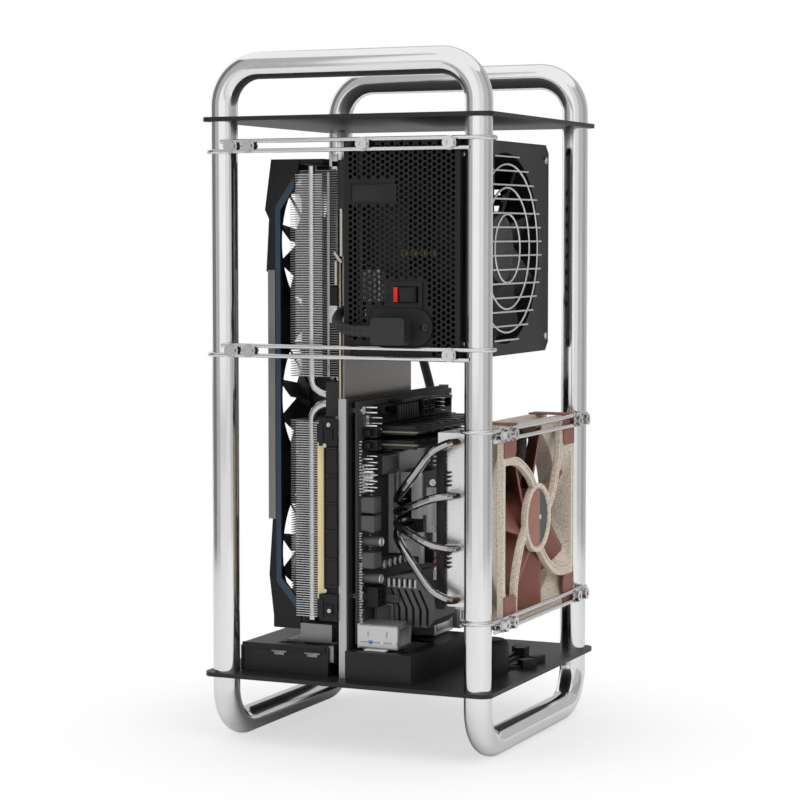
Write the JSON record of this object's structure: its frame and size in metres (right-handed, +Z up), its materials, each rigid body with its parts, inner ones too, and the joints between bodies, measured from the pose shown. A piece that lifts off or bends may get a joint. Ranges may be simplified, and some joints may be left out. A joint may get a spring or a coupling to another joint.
{
  "type": "mini-itx computer case",
  "caption": "Open upright mini-itx computer case: a bent tube loop with two flat plates holds power supply, graphics card, mainboard, cooler and side fan in the open.",
  "frame": {"origin": "on the floor under the middle of the case's bounding box, without its mains cord", "axes": "+Z up, -Y the front with the supply's socket, +X the side with the case fan"},
  "size_m": [0.2226, 0.3516, 0.487],
  "materials": {
    "polished_tube": "polished",
    "black_plate": "matt powder coat",
    "bright_rod": "polished",
    "screws": "polished",
    "black_sheet": "satin black",
    "guard_wire": "bright plated",
    "black_plastic": "fine grain",
    "dark_plastic": "satin",
    "green_board": "resin board",
    "dark_board": "resin board",
    "blue_trim": "satin",
    "taupe_metal": "brushed and tinted",
    "fin_metal": "thin sheet",
    "pipe_metal": "nickel plated",
    "steel_sheet": "plain sheet",
    "gold_board": "resin board",
    "grey_sheet": "satin sheet",
    "brass_post": "turned",
    "dark_metal": "satin anodised",
    "port_metal": "plated sheet",
    "pin_metal": "plated",
    "pale_metal": "satin cast",
    "beige_plastic": "speckled",
    "brown_rubber": "soft",
    "brown_plastic": "satin",
    "cord_rubber": "soft"
  },
  "bodies": {
    "frame": {"tube_frame": "polished_tube", "top_plate": "black_plate", "bottom_plate": "black_plate", "supply_rods": "bright_rod", "fan_rods": "bright_rod", "clamp_screws": "screws", "clamp_fixings": "screws", "supply_shell": "black_sheet", "supply_grille": "black_sheet", "supply_fan_guard": "guard_wire", "supply_fan_mount": "black_plastic", "supply_board": "green_board", "supply_switch_bezel": "black_plastic", "supply_inlet": "black_plastic", "mains_plug": "cord_rubber", "mains_cord": "cord_rubber", "mains_coil": "cord_rubber", "mains_tail": "cord_rubber", "wall_plug": "cord_rubber", "card_shroud": "black_plastic", "card_trim": "blue_trim", "card_side_strip": "taupe_metal", "card_fins": "fin_metal", "card_heat_pipes": "pipe_metal", "card_board": "dark_board", "card_backplate": "taupe_metal", "card_fan_mounts": "black_plastic", "card_end_plate": "steel_sheet", "riser_board": "gold_board", "riser_slot": "black_plastic", "card_base": "black_sheet", "board_tray": "grey_sheet", "board_posts": "brass_post", "board_base": "black_sheet", "mainboard": "dark_board", "power_sockets": "black_plastic", "memory_slots": "black_plastic", "memory_sticks": "dark_metal", "board_heat_sink": "dark_metal", "drive_cover": "dark_metal", "network_socket": "port_metal", "port_block": "port_metal", "chokes": "dark_metal", "capacitors": "dark_metal", "pin_headers": "pin_metal", "cooler_mount": "pale_metal", "cooler_base": "dark_metal", "cooler_pipes": "pipe_metal", "cooler_fins": "fin_metal", "fan_frame": "beige_plastic", "fan_pads": "brown_rubber", "base_socket": "black_plastic", "loose_plugs": "black_plastic"},
    "supply_fan": {"supply_fan_rotor": "dark_plastic"},
    "supply_switch": {"supply_rocker": "black_plastic"},
    "card_fan_lower": {"card_fan_low": "dark_plastic"},
    "card_fan_middle": {"card_fan_mid": "dark_plastic"},
    "card_fan_upper": {"card_fan_high": "dark_plastic"},
    "case_fan": {"fan_rotor": "brown_plastic"}
  },
  "joints": [
    {"name": "supply_fan_spin", "type": "hinge", "parent": "frame", "child": "supply_fan", "pos_m": [0.0817, -0.0195, 0.3503], "axis": [1, 0, 0], "continuous": true},
    {"name": "card_fan_lower_spin", "type": "hinge", "parent": "frame", "child": "card_fan_lower", "pos_m": [-0.0728, -0.0142, 0.133], "axis": [1, 0, 0], "continuous": true},
    {"name": "card_fan_middle_spin", "type": "hinge", "parent": "frame", "child": "card_fan_middle", "pos_m": [-0.0728, -0.0142, 0.244], "axis": [1, 0, 0], "continuous": true},
    {"name": "card_fan_upper_spin", "type": "hinge", "parent": "frame", "child": "card_fan_upper", "pos_m": [-0.0728, -0.0142, 0.355], "axis": [1, 0, 0], "continuous": true},
    {"name": "case_fan_spin", "type": "hinge", "parent": "frame", "child": "case_fan", "pos_m": [0.0797, 0.0018, 0.1588], "axis": [1, 0, 0], "continuous": true},
    {"name": "supply_switch_rock", "type": "hinge", "parent": "frame", "child": "supply_switch", "pos_m": [0.0459, -0.0996, 0.3193], "axis": [0, 0, 1], "range_deg": [0, 14]}
  ]
}
